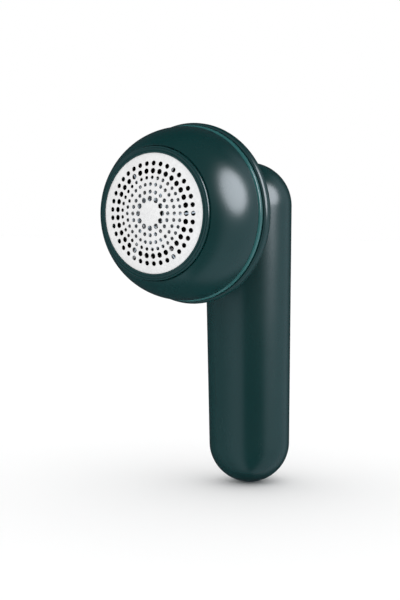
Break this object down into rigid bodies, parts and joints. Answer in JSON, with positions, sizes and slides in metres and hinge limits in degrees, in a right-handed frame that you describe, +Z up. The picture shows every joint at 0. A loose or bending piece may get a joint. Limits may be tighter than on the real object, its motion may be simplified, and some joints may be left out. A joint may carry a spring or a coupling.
{
  "type": "fabric shaver",
  "caption": "Hand-held fabric shaver with a round foil head, pull-off lint bin and an upright capsule handle.",
  "frame": {"origin": "middle of the grip, on the handle's own axis", "axes": "+Z up along the handle towards the head, -Y the way the foil faces, +X to the right of someone who looks along +Y at the foil"},
  "size_m": [0.0762, 0.0943, 0.1598],
  "materials": {
    "green_shell": "satin-gloss moulded plastic, dark teal green",
    "teal_trim": "polished teal plastic",
    "foil_steel": "bright stainless sheet, stamped holes",
    "blade_steel": "bright stainless sheet, ground edges",
    "plain_steel": "zinc-plated steel",
    "can_steel": "nickel-plated steel can",
    "black_plastic": "fine matt moulded plastic",
    "ivory_plastic": "plain nylon",
    "clear_plastic": "clear light guide",
    "seal_rubber": "matt rubber",
    "felt": "pressed grey felt",
    "bronze": "sintered bronze",
    "copper_wire": "enamelled copper",
    "magnet": "ferrite",
    "laminated_iron": "stacked iron laminations",
    "cell_sleeve": "shrink sleeve",
    "board": "green solder mask",
    "chip": "moulded epoxy",
    "wire_red": "PVC insulation"
  },
  "bodies": {
    "handle": {"trim_ring": "teal_trim", "bin_seal": "seal_rubber", "motor_deck": "black_plastic", "deck_screws": "plain_steel", "shaft_seal": "felt", "motor_can": "can_steel", "motor_magnets": "magnet", "motor_bushings": "bronze", "motor_end_cap": "ivory_plastic", "motor_brushes": "copper_wire", "motor_terminals": "bronze", "motor_holder": "black_plastic", "holder_screws": "plain_steel", "head_rear_shell": "green_shell", "neck_clip": "plain_steel", "motor_leads": "wire_red", "handle_front_shell": "green_shell", "handle_back_cover": "green_shell", "cover_screws": "plain_steel", "screw_plugs": "green_shell", "battery_cradle": "black_plastic", "battery_cell": "cell_sleeve", "battery_insulator": "ivory_plastic", "battery_tabs": "plain_steel", "battery_leads": "wire_red", "control_board": "board", "board_chips": "chip", "tact_switch": "black_plastic", "status_led": "clear_plastic", "light_guide": "clear_plastic", "usb_socket": "plain_steel"},
    "bin": {"lint_bin": "green_shell"},
    "foil_cap": {"foil_mesh": "foil_steel", "foil_ring": "green_shell", "foil_clamp": "black_plastic"},
    "rotor": {"cutter_spring": "plain_steel", "drive_hub": "ivory_plastic", "drive_cap": "plain_steel", "motor_shaft": "plain_steel", "motor_armature": "laminated_iron", "motor_windings": "copper_wire"},
    "cutter": {"cutter_blades": "blade_steel", "cutter_hub": "black_plastic"},
    "button": {"power_button": "green_shell", "switch_plunger": "ivory_plastic"}
  },
  "joints": [
    {"name": "bin_pull", "type": "slide", "parent": "handle", "child": "bin", "axis": [0, -1, 0], "range_m": [0, 0.04]},
    {"name": "foil_ring_turn", "type": "hinge", "parent": "bin", "child": "foil_cap", "pos_m": [0, -0.0725, 0.05], "axis": [0, -1, 0], "range_deg": [0, 25]},
    {"name": "motor_spin", "type": "hinge", "parent": "handle", "child": "rotor", "pos_m": [0, -0.0525, 0.05], "axis": [0, -1, 0], "continuous": true},
    {"name": "cutter_float", "type": "slide", "parent": "rotor", "child": "cutter", "axis": [0, 1, 0], "range_m": [0, 0.0008], "stiffness_N_per_m": 150, "springref_m": -0.002, "deforming": ["cutter_spring"]},
    {"name": "button_press", "type": "slide", "parent": "handle", "child": "button", "axis": [0, -0.9999, -0.0135], "range_m": [0, 0.0006], "stiffness_N_per_m": 1500, "springref_m": -0.0005}
  ]
}
